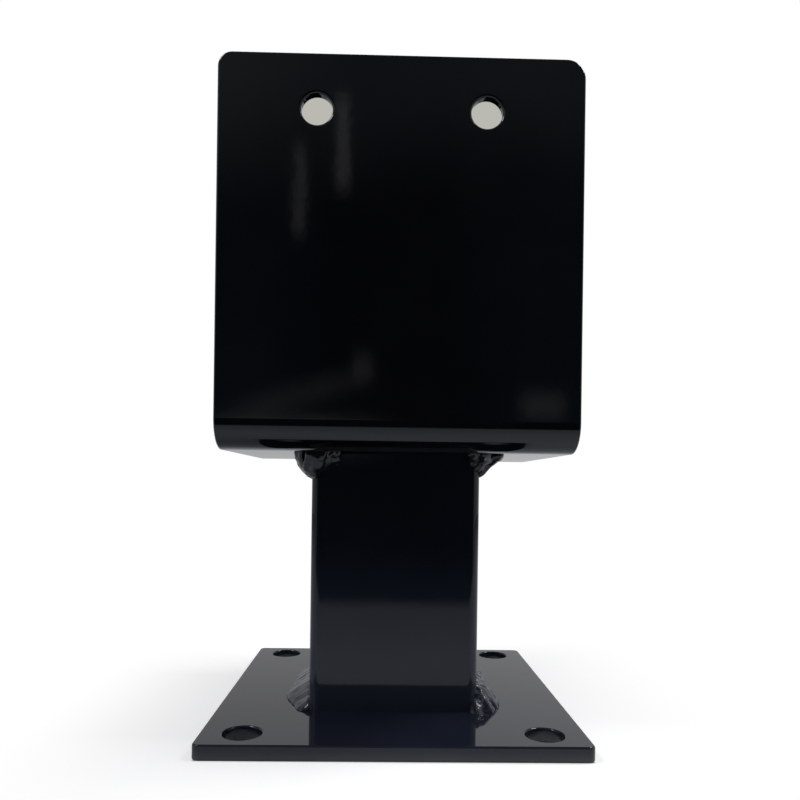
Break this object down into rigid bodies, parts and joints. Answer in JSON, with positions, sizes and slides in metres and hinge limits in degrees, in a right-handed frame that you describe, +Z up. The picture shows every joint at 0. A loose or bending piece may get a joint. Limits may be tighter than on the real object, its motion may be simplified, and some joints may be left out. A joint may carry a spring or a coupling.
{
  "type": "u bracket",
  "caption": "Welded stand-off U bracket: a folded saddle with bolt holes on a square tube post, over a square drilled foot plate.",
  "frame": {"origin": "centre of the foot plate's underside", "axes": "+Z up along the post, +X along the saddle's channel, so the two flanges face -Y and +Y"},
  "size_m": [0.1588, 0.1588, 0.2858],
  "materials": {
    "black_gloss_paint": "gloss black paint over steel, smooth, with soft rounded edges",
    "painted_weld": "the same gloss black paint, over rippled weld beads"
  },
  "bodies": {
    "root": {"base_plate": "black_gloss_paint", "post_tube": "black_gloss_paint", "u_saddle": "black_gloss_paint", "upper_left_weld": "painted_weld", "upper_right_weld": "painted_weld", "lower_left_weld": "painted_weld", "lower_right_weld": "painted_weld"}
  },
  "joints": []
}
